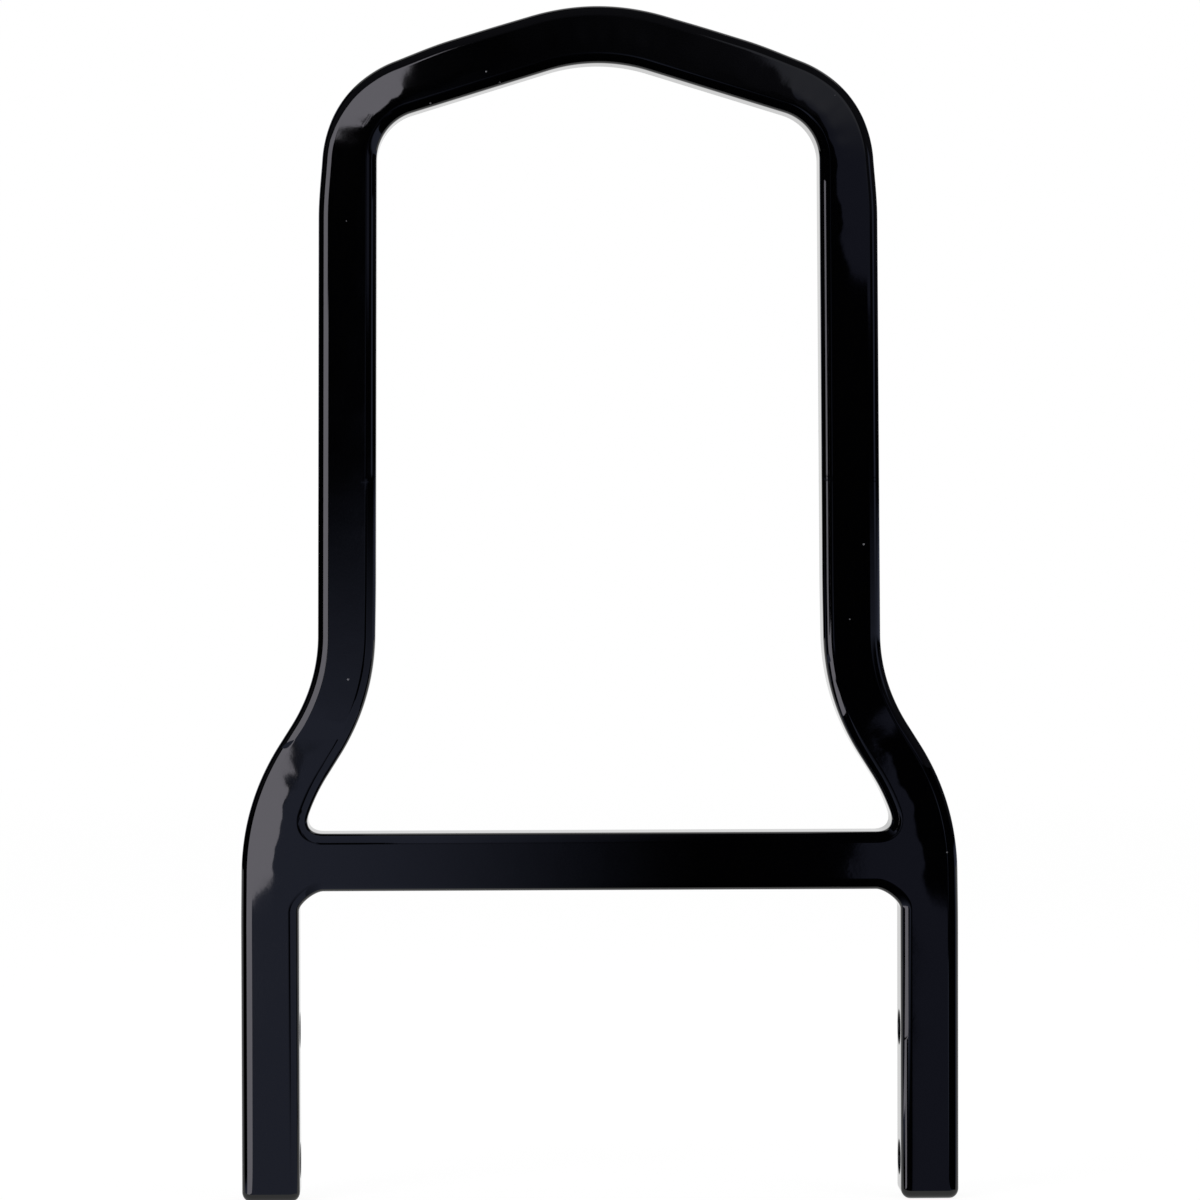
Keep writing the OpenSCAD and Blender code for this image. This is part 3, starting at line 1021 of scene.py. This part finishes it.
def painted_reflection_shade(make, look):
    """Painted reflections: dark, with the glow of dim panels ahead, at the right and overhead.

    A place is taken as the coat's flat front shows it: how far across and up it stands for each
    unit of its distance from the camera's mirror image.
    """
    x, y, z = stage_place(make)
    run = MIRROR_DISTANCE - y
    across = (x - MIRROR_ACROSS) / run
    up = (z - MIRROR_HEIGHT) / run
    # The left leg and the crossbar show the panel ahead, and rounded edges the far one
    low = 1 - (up - LIFT * across.within(*LIFT_ACROSS)).between(*AHEAD_TOP)
    ahead = low * across.within(*AHEAD_ACROSS)
    far = low * across.between(*FAR_LEFT) * (up + FAR_SLOPE * across).between(*FAR_FOOT)
    # The right leg and flare show the panel beyond, and the right shoulder the one above
    inset = BEYOND_INSET * (1 - up.between(*BEYOND_INSET_TOP))
    beyond = (leaning(across, up, BEYOND_LEAN, BEYOND_LEAN_FROM) - inset).between(*BEYOND_LEFT)
    beyond = beyond * (1 - across.between(*BEYOND_RIGHT)) * (1 - up.between(*BEYOND_TOP))
    above = leaning(across, up, ABOVE_LEAN, ABOVE_LEAN_FROM).between(*ABOVE_LEFT)
    above = above * (1 - across.between(*ABOVE_RIGHT)) * up.within(*ABOVE_UP)
    above_glow = up.between(*ABOVE_BRIGHT).blend(look.beyond_glow, look.above_glow)
    strip = across.within(*STRIP_ACROSS) * up.within(*STRIP_UP)
    sheen = across.between(*SHEEN_LEFT) * up.between(*SHEEN_FOOT)
    overhead = up.between(*OVERHEAD_FOOT) * (1 - y.between(*OVERHEAD_BACK))
    # On the mat, painted reflections of the right leg's glow and of the softbox's foot
    mat = 1 - z.between(*MAT_TOP)
    near = mat * across.between(*MAT_GLOW_LEFT) * y.between(*MAT_GLOW_FRONT)
    beside = (x + LEFT_SIDE) / (FRONT_FACE - y)
    foot = mat * beside.within(*FOOT_ACROSS) * y.between(*FOOT_FRONT)
    shade = BLACK
    for mask, glow in ((sheen, look.sheen_glow), (overhead, look.overhead_glow),
                       (strip, look.ahead_glow), (far, look.ahead_glow), (near, look.ahead_glow),
                       (ahead, look.ahead_glow), (beyond, look.beyond_glow), (above, above_glow),
                       (foot, look.softbox_glow)):
        shade = mask.blend(shade, glow)
    return shade


def painted_softbox_shade(make, look):
    """A painted softbox reflection, with a black flag before its middle that keeps it off the flat
    upper sides.
    """
    x, y, z = stage_place(make)
    beside = (x + LEFT_LEG) / (FRONT_FACE - y)
    height = z + RAGGED_HEIGHT * (noise(own_place(make), RAGGED_CELLS, RAGGED_DETAIL) - 0.5)
    flag = beside.between(*FLAG_LEFT) * z.between(*FLAG_FOOT) * (1 - height.between(*FLAG_TOP))
    return flag.blend(look.softbox_glow, BLACK)


def left_glow_shade(make, look):
    """A painted reflection: the glow of the panel ahead, fading upward."""
    return stage_place(make)[2].between(*LEFT_GLOW_FADE).blend(look.ahead_glow, BLACK)


def slat_glow_shade(make, look):
    """A painted reflection: the glow of the panel ahead, brighter, and fading to the right."""
    glow = [SLAT_GLOW_GAIN * v for v in look.ahead_glow]
    return stage_place(make)[0].between(*SLAT_GLOW_FADE).blend(glow, BLACK)


def card(name, look, rows, shade):
    """A glowing or black sheet that only gloss sees, which paints a reflection into the coat and
    lights nothing. Its shade is a colour, or a function that makes one.
    """
    material, make = new_material(name)
    glow = shade(make, look) if callable(shade) else opaque(shade)
    surface(make.node("ShaderNodeEmission", {"Color": glow, "Strength": look.card_strength}))
    made = link(name, sheet_mesh(name, rows))
    made.data.materials.append(material)
    made.visible_camera = made.visible_diffuse = made.visible_shadow = False
    made.visible_transmission = False
    made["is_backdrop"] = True


def build_cards(look):
    """Painted reflections: the dark sheets round the stage, the softbox, and the small cards close
    to the frame.
    """
    bearings = [TENT_REACH * (2 * k / TENT_STEPS - 1) for k in range(TENT_STEPS + 1)]
    tent = [(TENT_RADIUS * math.sin(a), -TENT_RADIUS * math.cos(a)) for a in bearings]
    width = (-TENT_RADIUS, TENT_RADIUS)
    # Painted reflections: a dark tent, ceiling and mat with glowing panels, seen only in gloss
    card("painted_reflection_tent", look, upright_sheet(tent, (MAT_LIFT, TENT_HEIGHT)), painted_reflection_shade)
    card("painted_reflection_ceiling", look, level_sheet(TENT_HEIGHT, width, (-TENT_RADIUS, CEILING_BACK)),
         painted_reflection_shade)
    card("painted_reflection_mat", look, level_sheet(MAT_LIFT, width, (-TENT_RADIUS, MAT_BACK)), painted_reflection_shade)
    # Black cards that paint dark reflections into the coat, seen only in gloss
    for name, place in SLATS.items():
        card(name, look, level_sheet(*place), BLACK)
    for name, place in UPRIGHTS.items():
        card(name, look, upright_sheet(*place), BLACK)
    # A painted highlight along the inside of the right leg
    card("leg_glow", look, upright_sheet(*LEG_GLOW), look.softbox_glow)
    card("leg_slat", look, drawn_sheet(LEG_SLAT, LEG_SLAT_ALONG), BLACK)
    for k, line in enumerate(LEFT_GLOWS, 1):
        card(f"left_glow_{k}", look, drawn_sheet(line, LEFT_GLOW_ALONG), left_glow_shade)
    card("corner_glow", look, level_sheet(*CORNER_GLOW), look.ahead_glow)
    height, across, along = SLATS["high_slat"]
    card("slat_glow", look, level_sheet(height - SLAT_GLOW_DROP, across, along), slat_glow_shade)
    # A painted reflection of a softbox at the left, seen only in gloss and lighting nothing
    card("painted_left_softbox", look, [[(SOFTBOX_LEFT, SOFTBOX_Y, z), (edge, SOFTBOX_Y, z)]
                                for z, edge in SOFTBOX_EDGE], painted_softbox_shade)


def build_lamps():
    """Lamps that light the floor and the dust, and that gloss doesn't see."""
    for name, (place, side, power) in LAMPS.items():
        lamp = bpy.data.lights.new(name, "AREA")
        lamp.size = side
        lamp.energy = power
        made = link(name, lamp)
        made.location = place
        aim = Vector(LAMP_AIM) - Vector(place)
        made.rotation_euler = aim.to_track_quat("-Z", "Y").to_euler()
        made.visible_glossy = False


def build_camera(scene, look):
    """The camera, turned to its aim point and rolled a little."""
    camera = bpy.data.cameras.new("camera")
    camera.lens = look.lens
    camera.sensor_width = FILM_WIDTH
    camera.shift_x = SHIFT_ACROSS
    camera.shift_y = SHIFT_UP
    made = link("camera", camera)
    aim = Vector((0.0, 0.0, look.aim_height))
    level = math.cos(look.camera_rise)
    away = Vector((math.sin(look.camera_side) * level, -math.cos(look.camera_side) * level,
                   math.sin(look.camera_rise)))
    made.location = aim + look.camera_distance * away
    turn = (-away).to_track_quat("-Z", "Y").to_matrix() @ Matrix.Rotation(
        -look.camera_roll, 3, "Z")
    made.rotation_euler = turn.to_euler()
    scene.camera = made


class FRAME_PT_panel(Panel):
    """Lists the sizes, the looks and the operators."""

    bl_idname = "FRAME_PT_panel"
    bl_label = "Sissy bar"
    bl_space_type = "VIEW_3D"
    bl_region_type = "UI"
    bl_category = "Sissy bar"

    def draw(self, context):
        for operator in (FRAME_OT_welded_frame, FRAME_OT_stage):
            self.layout.operator(operator.bl_idname)
        for group in (context.scene.frame_sizes, context.scene.coat_look,
                      context.scene.stage_look):
            box = self.layout.box()
            for name in group.bl_rna.properties.keys():
                if name not in ("rna_type", "name"):
                    box.prop(group, name)


CLASSES = (FrameSizes, CoatLook, StageLook, FRAME_OT_welded_frame, FRAME_OT_stage,
           FRAME_PT_panel)


def register():
    """Adds the classes and their settings to Blender."""
    for kind in CLASSES:
        bpy.utils.register_class(kind)
    bpy.types.Scene.frame_sizes = PointerProperty(type=FrameSizes)
    bpy.types.Scene.coat_look = PointerProperty(type=CoatLook)
    bpy.types.Scene.stage_look = PointerProperty(type=StageLook)


def unregister():
    """Takes them out again."""
    del bpy.types.Scene.stage_look
    del bpy.types.Scene.coat_look
    del bpy.types.Scene.frame_sizes
    for kind in reversed(CLASSES):
        bpy.utils.unregister_class(kind)


def corners(box):
    """A box's corners as plain lists."""
    return [[float(v) for v in corner] for corner in box]


def main():
    """Builds the frame and its stage."""
    register()
    bpy.ops.frame.welded_frame()
    bpy.ops.frame.stage()
    {"cad": corners(CAD_BOX), "visual": corners(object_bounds())}


if __name__ == "__main__":
    main()
